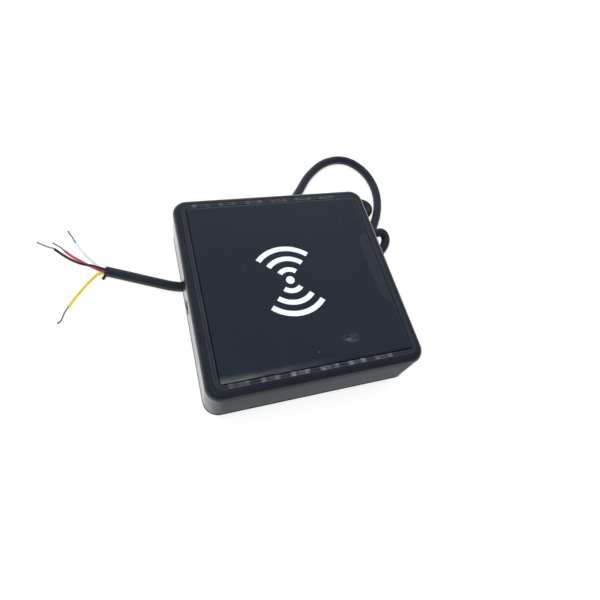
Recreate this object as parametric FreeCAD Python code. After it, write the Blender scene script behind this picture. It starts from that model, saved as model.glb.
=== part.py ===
import FreeCAD, Part
import math
import os

V = FreeCAD.Vector
os.makedirs("parts", exist_ok=True)

# ---------------------------------------------------------------- driving sizes, mm
CASE_W = 86.0            # width and depth of the rear cover flange, the largest square
FLANGE_LIP = 0.1         # how far the rear cover flange stands out past the shell
CORNER_R = 6.0           # plan radius of the shell's vertical corners
SHELL_TOP = 26.7         # height of the shell's flat rim above the table
SHOULDER_R = 3.0         # rounding between the shell's walls and its rim
WALL_T = 2.4             # shell wall
DECK_T = 1.6             # shell deck under the face panel
RIM_W = 3.3              # shoulder's width from the shell's wall to the light ring
RING_W = 1.6             # visible width of the light ring
RING_R = 3.6             # plan radius of the light ring's outer corners
RING_IN_R = 1.6          # plan radius of the light ring's inner corners
PANEL_GAP = 0.45         # gap between the light ring and the face panel
PANEL_T = 2.1            # face panel thickness
PANEL_RISE = 0.5         # height of the panel's face above the rim
PANEL_BEVEL = 0.9        # width of the shallow bevel round the panel's face
BEVEL_DROP = 0.3         # how far the bevel falls
FLANGE_T = 1.2           # visible edge of the rear cover
COVER_T = 3.0            # rear cover thickness
FOOT_H = 6.0             # rubber foot height
FOOT_R = 5.0             # rubber foot radius
FOOT_INSET = 8.9         # foot centre from the shell's walls
WALL_HOLES = 60.0        # spacing of the two wall-box screw holes
WALL_HOLE_R = 2.1        # radius of the wall-box screw holes
BOARD_HALF = 31.0        # half width of the circuit board
BOARD_Z = 14.4           # underside of the circuit board
BOARD_T = 1.6            # circuit board thickness
BOARD_POST = 27.0        # board post position from the centre lines
COIL_OUT = 25.5          # half width of the antenna coil, outside
COIL_W = 2.6             # width of the coil's winding
COIL_H = 2.4             # height of the coil's winding
LED_PITCH = 11.2         # spacing of the lamps along each strip
LED_FIRST = -31.4        # first lamp
LED_COUNT = 6            # lamps on each strip
LED_W = 5.0              # lamp width
STRIP_INSET = 2.9        # strip centre line from the cavity's walls
SYMBOL_X = -3.1          # centre of the printed wave symbol
SYMBOL_Y = -1.3
SYMBOL_TURN = 2.3        # turn of the symbol, degrees
SYMBOL_DOT_R = 1.75
SYMBOL_BANDS = ((3.8, 5.9), (8.85, 11.0), (13.65, 15.85))
SYMBOL_HALF_ANGLE = 45.0
INK_T = 0.1              # depth of the printed ink
GLAND_X = 10.5           # cable outlet along the rear wall
GLAND_Z = 11.4           # cable outlet height
CABLE_R = 2.15           # cable jacket radius
TIE_Y = 31.0             # cable tie inside the case
GRIP_TAIL = 3.2          # how far the cable grommet stands out of the rear wall
WIRE_R = 0.55            # insulated lead radius
TIP_R = 0.3              # bared, tinned strand radius
LOCK_Z = 13.1            # lock screw height in the left wall

COVER_Z = FOOT_H                         # underside of the rear cover
SHELL_Z = COVER_Z + FLANGE_T             # lower edge of the shell
HALF = CASE_W / 2 - FLANGE_LIP           # half width of the shell
INSIDE = HALF - WALL_T                   # half width of the cavity
RING_OUT = HALF - RIM_W                  # half width of the recess the light ring sits in
RING_IN = RING_OUT - RING_W              # half width of the light ring's opening
PANEL_HALF = RING_IN - PANEL_GAP         # half width of the face panel
PANEL_TOP = SHELL_TOP + PANEL_RISE       # height of the panel's face
FOOT_AT = HALF - FOOT_INSET              # foot position from the centre lines
STRIP_Y = INSIDE - STRIP_INSET           # strip centre line from the middle
RECESS_Z = SHELL_TOP - 2.9               # floor of the light ring's recess
DECK_Z = RECESS_Z - DECK_T               # underside of the deck
PLATEAU_Z = PANEL_TOP - PANEL_T - 0.3    # raised seat under the panel
FOOTING_Z = RECESS_Z + 1.1               # top of the light ring's foot under the panel
STRIP_Z = DECK_Z - 3.0                   # underside of the lamp strips
STRIP_TOP = STRIP_Z + 1.0
BOARD_TOP = BOARD_Z + BOARD_T
LED_X = [LED_FIRST + LED_PITCH * i for i in range(LED_COUNT)]


# ---------------------------------------------------------------- helpers
def square_wire(half, radius, z):
    k = half - radius
    s = radius * math.sqrt(0.5)
    edges = []
    corners = ((1, 1), (-1, 1), (-1, -1), (1, -1))
    for i, (sx, sy) in enumerate(corners):
        nx, ny = corners[(i + 1) % 4]
        if i % 2 == 0:
            first = V(sx * half, sy * k, z)
            last = V(sx * k, sy * half, z)
            start = V(nx * k, ny * half, z)
        else:
            first = V(sx * k, sy * half, z)
            last = V(sx * half, sy * k, z)
            start = V(nx * half, ny * k, z)
        middle = V(sx * (k + s), sy * (k + s), z)
        edges.append(Part.Arc(first, middle, last).toShape())
        edges.append(Part.LineSegment(last, start).toShape())
    return Part.Wire(Part.__sortEdges__(edges))


def slab(half, radius, z0, z1):
    return Part.Face(square_wire(half, radius, z0)).extrude(V(0, 0, z1 - z0))


def frame(out, r_out, inner, r_in, z0, z1):
    return slab(out, r_out, z0, z1).cut(slab(inner, r_in, z0 - 1, z1 + 1))


def block(x0, x1, y0, y1, z0, z1):
    return Part.makeBox(x1 - x0, y1 - y0, z1 - z0, V(x0, y0, z0))


def centred(x, y, w, d, z0, z1):
    return block(x - w / 2, x + w / 2, y - d / 2, y + d / 2, z0, z1)


def post(x, y, r, z0, z1):
    return Part.makeCylinder(r, z1 - z0, V(x, y, z0))


def cone(x, y, r0, r1, z0, z1):
    return Part.makeCone(r0, r1, z1 - z0, V(x, y, z0))


def at_height(shape, z):
    found = []
    for edge in shape.Edges:
        box = edge.BoundBox
        if abs(box.ZMin - z) < 1e-4 and abs(box.ZMax - z) < 1e-4:
            found.append(edge)
    return found


def rod(a, b, r):
    d = b.sub(a)
    return Part.makeCylinder(r, d.Length, a, d)


def fuse_all(shapes):
    body = shapes[0]
    for other in shapes[1:]:
        body = body.fuse(other)
    return body.removeSplitter()


def export(name, shape):
    solids = shape.Solids
    assert solids, name
    for solid in solids:
        assert solid.isValid() and solid.Volume > 0, name
    if len(solids) == 1:
        shape = solids[0]
    else:
        shape = Part.makeCompound(solids)
    shape.exportStep("parts/" + name + ".step")
    box = shape.BoundBox
    report = (name, len(solids), shape.Volume, box.ZMin, box.ZMax)
    print("%-16s solids %2d volume %9.1f  z %.2f..%.2f" % report)


def path_edges(points, label):
    """Straight runs joined by tangent arcs."""
    runs = [points[i + 1].sub(points[i]).Length for i in range(len(points) - 1)]
    edges = []
    here = points[0]
    radii = []
    for i in range(1, len(points) - 1):
        back = points[i - 1].sub(points[i]).normalize()
        on = points[i + 1].sub(points[i]).normalize()
        turn = math.pi - back.getAngle(on)
        cut = 0.45 * min(runs[i - 1], runs[i])
        radius = cut / math.tan(turn / 2)
        radii.append(radius)
        first = points[i].add(back.multiply(cut))
        last = points[i].add(on.multiply(cut))
        middle = first.add(last).multiply(0.5)
        toward = middle.sub(points[i])
        centre_gap = radius / math.cos(turn / 2)
        top = toward.normalize().multiply(centre_gap - radius)
        edges.append(Part.LineSegment(here, first).toShape())
        edges.append(Part.Arc(first, points[i].add(top), last).toShape())
        here = last
    edges.append(Part.LineSegment(here, points[-1]).toShape())
    if radii:
        print("%-16s bend radii %s" % (label, " ".join("%.1f" % r for r in radii)))
    return edges


def tube(points, radius, label):
    edges = path_edges(points, label)
    wire = Part.Wire(edges)
    start = points[1].sub(points[0])
    ring = Part.Wire([Part.makeCircle(radius, points[0], start)])
    body = wire.makePipeShell([ring], True, True)
    length = sum(e.Length for e in edges)
    plain = math.pi * radius * radius * length
    print("%-16s length %.1f volume/plain %.4f" % (label, length, body.Volume / plain))
    return body


# ---------------------------------------------------------------- shell
def make_shell():
    body = slab(HALF, CORNER_R, SHELL_Z, SHELL_TOP)
    body = body.makeFillet(SHOULDER_R, at_height(body, SHELL_TOP))
    body = body.cut(slab(RING_OUT, RING_R, RECESS_Z, SHELL_TOP + 1))
    body = body.cut(slab(INSIDE, CORNER_R - WALL_T, SHELL_Z - 1, DECK_Z))
    body = body.fuse(slab(PANEL_HALF - 0.8, 0.8, RECESS_Z - 0.5, PLATEAU_Z))
    for side in (-1, 1):
        y = side * (RING_OUT - 1.3)
        body = body.cut(centred(-3.4, y, 62.0, 1.8, DECK_Z - 1, RECESS_Z + 0.5))
        for x in (-30.0, -3.4, 24.0):
            shelf_y = side * (INSIDE - 0.6)
            body = body.fuse(centred(x, shelf_y, 4.0, 2.4, STRIP_Z - 1.4, STRIP_Z))
    for x in (-BOARD_POST, BOARD_POST):
        for y in (-BOARD_POST, BOARD_POST):
            body = body.fuse(post(x, y, 2.6, BOARD_TOP, DECK_Z + 0.5))
            body = body.cut(post(x, y, 1.1, BOARD_TOP - 1, DECK_Z - 0.6))
    hole = Part.makeCylinder(3.1, 8, V(GLAND_X, HALF - 5, GLAND_Z), V(0, 1, 0))
    body = body.cut(hole)
    lock = Part.makeCylinder(1.7, 8, V(-HALF - 1, 0, LOCK_Z), V(1, 0, 0))
    seat = Part.makeCylinder(3.1, 2.3, V(-HALF - 1, 0, LOCK_Z), V(1, 0, 0))
    body = body.cut(lock).cut(seat)
    for y in (-18.0, 18.0):
        body = body.cut(block(INSIDE - 0.5, INSIDE + 1.2, y - 4.5, y + 4.5, 10.6, 13.0))
    return body.removeSplitter()


# ---------------------------------------------------------------- light ring and face
def make_light_ring():
    lower = frame(RING_OUT - 0.05, RING_R - 0.05, PANEL_HALF - 0.6, 0.9, RECESS_Z, FOOTING_Z)
    upper = frame(RING_OUT - 0.05, RING_R - 0.05, RING_IN, RING_IN_R, FOOTING_Z, SHELL_TOP)
    return lower.fuse(upper).removeSplitter()


def arc_band(r0, r1, middle, half):
    a0 = math.radians(middle - half)
    a1 = math.radians(middle + half)
    am = math.radians(middle)
    z = PANEL_TOP - INK_T

    def at(r, a):
        return V(SYMBOL_X + r * math.cos(a), SYMBOL_Y + r * math.sin(a), z)

    edges = [
        Part.Arc(at(r1, a0), at(r1, am), at(r1, a1)).toShape(),
        Part.LineSegment(at(r1, a1), at(r0, a1)).toShape(),
        Part.Arc(at(r0, a1), at(r0, am), at(r0, a0)).toShape(),
        Part.LineSegment(at(r0, a0), at(r1, a0)).toShape(),
    ]
    return Part.Face(Part.Wire(edges)).extrude(V(0, 0, INK_T))


def make_symbol():
    pieces = [post(SYMBOL_X, SYMBOL_Y, SYMBOL_DOT_R, PANEL_TOP - INK_T, PANEL_TOP)]
    for r0, r1 in SYMBOL_BANDS:
        for middle in (90.0, 270.0):
            pieces.append(arc_band(r0, r1, middle + SYMBOL_TURN, SYMBOL_HALF_ANGLE))
    return Part.makeCompound(pieces)


def make_panel():
    z0 = PANEL_TOP - PANEL_T
    z1 = PANEL_TOP - BEVEL_DROP
    body = slab(PANEL_HALF, 1.0, z0, z1)
    rim = square_wire(PANEL_HALF, 1.0, z1)
    face = square_wire(PANEL_HALF - PANEL_BEVEL, 0.5, PANEL_TOP)
    body = body.fuse(Part.makeLoft([rim, face], True, True)).removeSplitter()
    return body.cut(make_symbol())


def make_film_tab():
    z = PANEL_TOP
    edge = PANEL_HALF - PANEL_BEVEL - 0.1
    points = [V(edge, 18.0, z), V(edge - 2.7, 16.2, z), V(edge - 4.3, 12.0, z)]
    points += [V(edge - 4.6, 0.0, z), V(edge - 4.4, -9.0, z), V(edge - 2.9, -15.0, z)]
    points += [V(edge, -18.4, z)]
    curve = Part.BSplineCurve()
    curve.interpolate(points)
    side = Part.LineSegment(points[-1], points[0]).toShape()
    return Part.Face(Part.Wire([curve.toShape(), side])).extrude(V(0, 0, 0.06))


# ---------------------------------------------------------------- rear cover and feet
def feet_places():
    return [(x, y) for x in (-FOOT_AT, FOOT_AT) for y in (-FOOT_AT, FOOT_AT)]


def gasket_ring(extra):
    outer = HALF - 0.8
    inner = HALF - 2.0
    top = SHELL_Z + extra
    return frame(outer, CORNER_R - 0.8, inner, CORNER_R - 2.0, SHELL_Z - 0.6, top)


def make_cover():
    flange = slab(CASE_W / 2, CORNER_R + FLANGE_LIP, COVER_Z, SHELL_Z)
    flange = flange.makeChamfer(0.35, at_height(flange, COVER_Z))
    plug = slab(INSIDE - 0.2, CORNER_R - WALL_T - 0.2, SHELL_Z, COVER_Z + COVER_T)
    body = flange.fuse(plug)
    body = body.cut(gasket_ring(0.001))
    top = COVER_Z + COVER_T
    notch_y = INSIDE - 3.8
    body = body.cut(block(GLAND_X - 5.0, GLAND_X + 5.0, notch_y, INSIDE + 0.7, SHELL_Z, top + 1))
    body = body.cut(block(GLAND_X - 2.3, GLAND_X + 2.3, TIE_Y - 0.4, TIE_Y + 3.0, top - 0.8, top + 1))
    for x, y in feet_places():
        body = body.cut(post(x, y, 2.05, COVER_Z - 1, top + 1))
    for x in (-WALL_HOLES / 2, WALL_HOLES / 2):
        body = body.cut(post(x, 0, WALL_HOLE_R, COVER_Z - 1, top + 1))
    lug = block(-INSIDE + 0.2, -INSIDE + 5.8, -6.0, 6.0, top - 0.5, 17.0)
    body = body.fuse(lug)
    insert = Part.makeCylinder(2.3, 10, V(-INSIDE - 1, 0, LOCK_Z), V(1, 0, 0))
    body = body.cut(insert)
    for y in (-18.0, 18.0):
        body = body.fuse(block(INSIDE - 2.0, INSIDE - 0.2, y - 4.0, y + 4.0, top - 0.5, 13.4))
        body = body.fuse(block(INSIDE - 0.3, INSIDE + 0.9, y - 4.0, y + 4.0, 10.9, 12.4))
    for x in (-20.0, 0.0, 20.0):
        body = body.fuse(centred(x, -8.0, 1.2, 40.0, top - 0.5, top + 0.8))
    return body.removeSplitter()


def make_gasket():
    return gasket_ring(0.0)


def make_feet():
    top = COVER_Z + COVER_T
    solids = []
    for x, y in feet_places():
        pad = cone(x, y, FOOT_R - 0.5, FOOT_R, 0, FOOT_H)
        pad = pad.makeFillet(0.5, at_height(pad, 0.0))
        stem = post(x, y, 2.0, FOOT_H - 0.5, top)
        barb = cone(x, y, 2.7, 1.8, top, top + 1.6)
        solids.append(fuse_all([pad, stem, barb]))
    return Part.makeCompound(solids)


def make_label():
    return centred(0, -22.0, 40.0, 20.0, COVER_Z - 0.1, COVER_Z)


def make_lock_screw():
    face = -HALF - 0.25
    head = Part.makeCylinder(2.75, 1.55, V(face, 0, LOCK_Z), V(1, 0, 0))
    rim = [e for e in head.Edges if abs(e.BoundBox.XMax - face) < 1e-4]
    head = head.makeFillet(0.35, rim)
    shank = Part.makeCylinder(1.4, 8.0, V(face + 1.5, 0, LOCK_Z), V(1, 0, 0))
    body = head.fuse(shank)
    for w, h in ((0.7, 3.2), (3.2, 0.7)):
        body = body.cut(block(face - 1, face + 0.9, -w / 2, w / 2, LOCK_Z - h / 2, LOCK_Z + h / 2))
    return body.removeSplitter()


def make_lock_insert():
    start = V(-INSIDE + 0.2, 0, LOCK_Z)
    body = Part.makeCylinder(2.3, 5.0, start, V(1, 0, 0))
    return body.cut(Part.makeCylinder(1.45, 12, V(-INSIDE - 2, 0, LOCK_Z), V(1, 0, 0)))


# ---------------------------------------------------------------- electronics
def make_board():
    body = slab(BOARD_HALF, 2.0, BOARD_Z, BOARD_TOP)
    for x in (-BOARD_POST, BOARD_POST):
        for y in (-BOARD_POST, BOARD_POST):
            body = body.cut(post(x, y, 1.3, BOARD_Z - 1, BOARD_TOP + 1))
    for x in (-3.75, -1.25, 1.25, 3.75):
        body = body.cut(post(GLAND_X + x, 11.0, 0.5, BOARD_Z - 1, BOARD_TOP + 1))
    return body


def make_board_screws():
    solids = []
    for x in (-BOARD_POST, BOARD_POST):
        for y in (-BOARD_POST, BOARD_POST):
            head = post(x, y, 2.2, BOARD_Z - 1.5, BOARD_Z)
            head = head.makeFillet(0.4, at_height(head, BOARD_Z - 1.5))
            shank = post(x, y, 1.05, BOARD_Z - 0.5, DECK_Z - 1.4)
            body = head.fuse(shank)
            for w, h in ((0.5, 2.4), (2.4, 0.5)):
                body = body.cut(centred(x, y, w, h, BOARD_Z - 2, BOARD_Z - 0.8))
            solids.append(body.removeSplitter())
    return Part.makeCompound(solids)


def make_coil():
    z1 = DECK_Z
    return frame(COIL_OUT, 6.0, COIL_OUT - COIL_W, 6.0 - COIL_W, z1 - COIL_H, z1)


def make_coil_leads():
    z = DECK_Z - COIL_H
    y = -COIL_OUT + COIL_W / 2
    solids = [rod(V(x, y, BOARD_TOP), V(x, y, z), 0.3) for x in (-4.0, 4.0)]
    return Part.makeCompound(solids)


def make_strips():
    solids = [centred(-3.4, s * STRIP_Y, 66.0, 5.4, STRIP_Z, STRIP_TOP) for s in (-1, 1)]
    return Part.makeCompound(solids)


def make_leds():
    solids = []
    for s in (-1, 1):
        for x in LED_X:
            lamp = centred(x, s * STRIP_Y, LED_W, LED_W, STRIP_TOP, STRIP_TOP + 1.6)
            lamp = lamp.cut(post(x, s * STRIP_Y, 2.0, 21.5, 22.5))
            solids.append(lamp)
    return Part.makeCompound(solids)


def make_led_leads():
    solids = []
    for s in (-1, 1):
        for x in (-12.0, -9.5):
            low = V(x, s * 29.6, BOARD_TOP)
            bend = V(x, s * 29.6, BOARD_TOP + 1.6)
            top = V(x, s * (STRIP_Y - 1.8), STRIP_Z)
            reach = V(x, s * (STRIP_Y - 1.8), STRIP_Z - 0.8)
            parts = [rod(low, bend, 0.4), Part.makeSphere(0.4, bend), rod(bend, reach, 0.4)]
            parts += [Part.makeSphere(0.4, reach), rod(reach, top, 0.4)]
            solids.append(fuse_all(parts))
    return Part.makeCompound(solids)


def make_buzzer():
    x, y = -2.0, 13.0
    body = post(x, y, 6.0, BOARD_TOP, BOARD_TOP + 5.0)
    body = body.makeChamfer(0.5, at_height(body, BOARD_TOP + 5.0))
    return body.cut(post(x, y, 1.0, BOARD_TOP + 4.0, BOARD_TOP + 6.0))


def leaded_chip(x, y, w, d, h, count, z, up, sides):
    z0, z1 = (z + 0.15, z + h) if up else (z - h, z - 0.15)
    body = centred(x, y, w, d, z0, z1)
    legs = []
    for i in range(count):
        shift = (i - (count - 1) / 2) * 1.27
        for s in (-1, 1):
            zz0, zz1 = (z, z + 0.35) if up else (z - 0.35, z)
            legs.append(centred(x + shift, y + s * (d / 2 + 0.4), 0.45, 1.4, zz0, zz1))
            if sides:
                legs.append(centred(x + s * (w / 2 + 0.4), y + shift, 1.4, 0.45, zz0, zz1))
    return fuse_all([body] + legs)


def make_controller():
    return leaded_chip(-8.0, 2.0, 10.0, 10.0, 1.6, 6, BOARD_Z, False, True)


def make_reader_chip():
    return leaded_chip(-2.0, -12.0, 10.2, 6.0, 2.0, 7, BOARD_TOP, True, False)


def make_crystal():
    body = centred(12.0, -12.0, 10.6, 4.4, BOARD_TOP, BOARD_TOP + 3.2)
    upright = [e for e in body.Edges if abs(e.BoundBox.ZLength - 3.2) < 1e-4]
    body = body.makeFillet(2.0, upright)
    return body.makeFillet(0.4, at_height(body, BOARD_TOP + 3.2))


def make_electrolytics():
    solids = []
    for y in (2.0, 12.0):
        can = post(-13.0, y, 3.15, BOARD_TOP + 0.6, BOARD_TOP + 5.2)
        can = can.makeFillet(0.4, at_height(can, BOARD_TOP + 5.2))
        base = centred(-13.0, y, 6.6, 6.6, BOARD_TOP, BOARD_TOP + 0.8)
        solids.append(fuse_all([can, base]))
    return Part.makeCompound(solids)


def make_chip_parts():
    solids = []
    for i in range(5):
        solids.append(centred(-16.0 + 4.0 * i, -20.0, 2.0, 1.25, BOARD_TOP, BOARD_TOP + 0.8))
        solids.append(centred(-18.0, -14.0 + 3.5 * i, 1.25, 2.0, BOARD_TOP, BOARD_TOP + 0.6))
        solids.append(centred(-22.0 + 4.0 * i, -14.0, 2.0, 1.25, BOARD_Z - 0.8, BOARD_Z))
    return Part.makeCompound(solids)


def make_regulator():
    body = centred(-20.0, 18.0, 6.6, 6.1, BOARD_Z - 2.3, BOARD_Z)
    tab = centred(-20.0, 22.0, 5.2, 2.4, BOARD_Z - 0.6, BOARD_Z)
    return fuse_all([body, tab])


def make_diode():
    body = centred(-8.0, 20.0, 4.4, 3.6, BOARD_Z - 2.2, BOARD_Z)
    ends = [centred(-8.0 + s * 2.6, 20.0, 1.2, 2.0, BOARD_Z - 0.4, BOARD_Z) for s in (-1, 1)]
    return fuse_all([body] + ends)


def make_header():
    x = GLAND_X
    shell = centred(x, 12.0, 12.5, 6.0, BOARD_Z - 4.6, BOARD_Z)
    shell = shell.cut(centred(x, 12.9, 10.7, 4.4, BOARD_Z - 3.9, BOARD_Z - 0.8))
    pins = []
    for shift in (-3.75, -1.25, 1.25, 3.75):
        pins.append(block(x + shift - 0.3, x + shift + 0.3, 9.2, 13.4, BOARD_Z - 2.5, BOARD_Z - 1.9))
        pins.append(post(x + shift, 11.0, 0.3, BOARD_Z - 2.2, BOARD_TOP + 1.0))
    shell = shell.fuse(block(x - 5.2, x + 5.2, 9.0, 10.8, BOARD_Z - 4.0, BOARD_Z - 0.7))
    return fuse_all([shell] + pins)


def make_plug():
    x = GLAND_X
    z0, z1 = BOARD_Z - 3.8, BOARD_Z - 0.9
    body = block(x - 5.2, x + 5.2, 11.6, 18.6, z0, z1)
    for shift in (-3.75, -1.25, 1.25, 3.75):
        body = body.cut(block(x + shift - 0.4, x + shift + 0.4, 11.0, 14.6, BOARD_Z - 2.6, BOARD_Z - 1.8))
    return body


INNER_WIRES = (
    ("black", -3.75, -135.0), ("white", -1.25, 135.0), ("yellow", 1.25, 45.0), ("red", 3.75, -45.0),
)


def inner_wire(shift, angle):
    a = math.radians(angle)
    start = V(GLAND_X + shift, 18.6, BOARD_Z - 2.35)
    end = V(GLAND_X + 1.1 * math.cos(a), 27.0, GLAND_Z + 1.1 * math.sin(a))
    lead_in = V(0, 1.6, 0)
    points = [start, start.add(lead_in), end.sub(lead_in), end]
    return tube(points, 0.5, "inner wire")


# ---------------------------------------------------------------- cable
def make_grommet():
    x, z = GLAND_X, GLAND_Z
    y_in, y_out = INSIDE, HALF
    profile = [(CABLE_R, y_in - 2.0), (4.0, y_in - 2.0), (4.0, y_in), (3.1, y_in),
               (3.1, y_out), (4.1, y_out), (4.1, y_out + 1.2), (3.4, y_out + 1.2),
               (2.7, y_out + GRIP_TAIL), (CABLE_R, y_out + GRIP_TAIL)]
    points = [V(x + r, y, z) for r, y in profile]
    face = Part.Face(Part.makePolygon(points + points[:1]))
    return face.revolve(V(x, 0, z), V(0, 1, 0), 360)


def make_cable_entry():
    return Part.makeCylinder(CABLE_R, INSIDE - 27.0, V(GLAND_X, 27.0, GLAND_Z), V(0, 1, 0))


def make_cable_tie():
    y = TIE_Y
    band = Part.makeCylinder(2.9, 2.6, V(GLAND_X, y, GLAND_Z), V(0, 1, 0))
    band = band.cut(Part.makeCylinder(CABLE_R, 6, V(GLAND_X, y - 1, GLAND_Z), V(0, 1, 0)))
    head = block(GLAND_X + 2.6, GLAND_X + 5.6, y - 0.6, y + 3.2, GLAND_Z - 2.2, GLAND_Z + 2.2)
    return fuse_all([band, head])


CABLE_ROUTE = (
    # out of the case and down to the table
    (10.5, 51.2, 11.4), (16.5, 54.0, 4.6), (24.3, 63.4, 2.7),
    # wide arc behind the case
    (32.0, 73.9, 2.2), (44.8, 83.6, 2.2), (57.8, 84.5, 2.2), (66.4, 75.3, 2.2), (68.7, 61.9, 2.2),
    (64.6, 47.3, 2.2), (57.0, 35.8, 2.2),
    # loop under the rear right foot
    (48.5, 24.2, 2.2), (39.0, 12.5, 2.2), (25.0, 9.5, 2.2), (17.5, 21.5, 2.2), (21.0, 36.5, 2.2),
    (33.0, 43.0, 2.2), (44.4, 38.4, 3.0),
    # hump over the arc and tight fold beside the case
    (51.6, 29.0, 7.4), (59.2, 30.8, 7.2), (59.8, 24.3, 5.3),
    # second loop under the case
    (50.0, 16.9, 2.3), (46.8, 3.8, 2.2), (39.6, -8.0, 2.2), (26.5, -11.5, 2.2), (12.0, -7.5, 2.2),
    (4.0, 6.0, 2.2), (4.0, 22.0, 2.2), (10.0, 37.0, 2.2),
    # tight fold behind the rear right corner
    (24.0, 46.4, 2.2), (41.0, 46.6, 2.2), (55.2, 43.7, 2.2), (60.3, 49.2, 2.2), (56.8, 54.0, 2.2),
    # back under the case and out on the left
    (44.0, 53.0, 2.2), (28.0, 51.5, 2.2), (13.0, 48.6, 2.2), (-2.0, 41.4, 2.2), (-13.0, 30.0, 2.2),
    (-25.5, 17.6, 2.2), (-41.0, 14.0, 2.2), (-57.0, 20.9, 2.2), (-72.0, 27.4, 2.2),
)

LEADS = (
    ("black",
     ((-71.88, 27.68, 3.2), (-77.0, 30.6, 2.6), (-79.3, 31.6, 2.1), (-82.1, 33.1, 1.5),
      (-85.3, 35.7, 0.9), (-88.5, 38.7, 0.65), (-91.4, 42.0, 0.65)),
     ((-92.7, 42.9, 0.5), (-94.8, 44.1, 0.4), (-98.1, 46.5, 0.4))),
    ("red",
     ((-72.14, 27.08, 2.1), (-76.1, 29.9, 1.2), (-79.0, 32.4, 0.65), (-81.9, 34.9, 0.65),
      (-84.9, 37.4, 0.65), (-87.4, 40.5, 0.65)),
     ((-88.8, 42.5, 0.5), (-90.4, 44.0, 0.4), (-92.1, 45.5, 0.4))),
    ("white",
     ((-71.64, 28.23, 1.9), (-76.4, 32.9, 0.65), (-79.8, 37.5, 0.65), (-82.9, 43.9, 0.65)),
     ((-84.0, 46.4, 0.5), (-84.3, 47.9, 0.45), (-85.5, 49.3, 0.4), (-85.7, 51.1, 0.4))),
    ("yellow",
     ((-72.2, 26.94, 0.9), (-76.2, 26.9, 0.75), (-79.7, 23.5, 0.65), (-83.2, 19.3, 0.65),
      (-85.5, 16.3, 0.65), (-87.3, 13.6, 0.65)),
     ((-89.0, 11.1, 0.5), (-89.7, 9.1, 0.45), (-90.4, 7.5, 0.4), (-91.6, 7.0, 0.4))),
)


FILLER = ((-72.3, 26.0, 1.5), (-73.0, 25.4, 1.2), (-73.7, 24.4, 0.9))


def vectors(points):
    return [V(*p) for p in points]


def along(points):
    """Direction of the last run."""
    return points[-1].sub(points[-2]).normalize()


def main():
    export("case_shell", make_shell())
    export("light_ring", make_light_ring())
    export("face_panel", make_panel())
    seat = slab(PANEL_HALF - 1.5, 0.8, PLATEAU_Z, PANEL_TOP - PANEL_T)
    export("panel_adhesive", seat)
    export("wave_symbol", make_symbol())
    export("film_tab", make_film_tab())
    export("rear_cover", make_cover())
    export("case_gasket", make_gasket())
    export("rubber_feet", make_feet())
    export("rear_label", make_label())
    export("lock_screw", make_lock_screw())
    export("lock_insert", make_lock_insert())
    export("main_board", make_board())
    export("board_screws", make_board_screws())
    export("antenna_coil", make_coil())
    export("coil_leads", make_coil_leads())
    export("led_strips", make_strips())
    export("leds", make_leds())
    export("led_leads", make_led_leads())
    export("buzzer", make_buzzer())
    export("controller", make_controller())
    export("reader_chip", make_reader_chip())
    export("crystal", make_crystal())
    export("electrolytics", make_electrolytics())
    export("chip_parts", make_chip_parts())
    export("regulator", make_regulator())
    export("diode", make_diode())
    export("wire_header", make_header())
    export("wire_plug", make_plug())
    for colour, shift, angle in INNER_WIRES:
        export("inner_wire_" + colour, inner_wire(shift, angle))
    export("cable_grommet", make_grommet())
    export("cable_entry", make_cable_entry())
    export("cable_tie", make_cable_tie())
    route = [(GLAND_X, INSIDE, GLAND_Z)] + list(CABLE_ROUTE)
    export("cable_jacket", tube(vectors(route), CABLE_R, "cable_jacket"))
    out = along(vectors(route))
    export("cable_filler", tube(vectors(FILLER), 0.6, "cable_filler"))
    for colour, insulated, bare in LEADS:
        covered = vectors(insulated)
        covered.insert(1, covered[0].add(out.multiply(2.2)))
        out.normalize()
        export("lead_" + colour, tube(covered, WIRE_R, "lead_" + colour))
        onward = along(covered)
        end = covered[-1]
        strands = [end, end.add(onward.multiply(0.9))] + vectors(bare)
        export("tip_" + colour, tube(strands, TIP_R, "tip_" + colour))


main()
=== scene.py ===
import math

import bpy
import bmesh
from mathutils import Matrix, Vector


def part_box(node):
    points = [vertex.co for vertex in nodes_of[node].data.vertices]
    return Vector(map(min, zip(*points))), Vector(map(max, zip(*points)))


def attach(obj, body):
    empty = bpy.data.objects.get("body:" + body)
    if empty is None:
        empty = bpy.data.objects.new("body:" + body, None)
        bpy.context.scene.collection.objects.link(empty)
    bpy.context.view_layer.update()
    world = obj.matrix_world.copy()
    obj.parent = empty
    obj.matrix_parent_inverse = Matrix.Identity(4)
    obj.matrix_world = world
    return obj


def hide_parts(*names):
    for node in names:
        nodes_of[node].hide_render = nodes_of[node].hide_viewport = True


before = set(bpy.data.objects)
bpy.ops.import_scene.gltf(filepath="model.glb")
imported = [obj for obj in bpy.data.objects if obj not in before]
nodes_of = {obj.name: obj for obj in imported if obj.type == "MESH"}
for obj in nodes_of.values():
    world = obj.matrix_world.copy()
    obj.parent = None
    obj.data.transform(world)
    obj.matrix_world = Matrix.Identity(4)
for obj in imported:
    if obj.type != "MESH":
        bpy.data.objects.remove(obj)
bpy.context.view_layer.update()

MM = 0.001
ROOT = "root"
scene = bpy.context.scene

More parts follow.
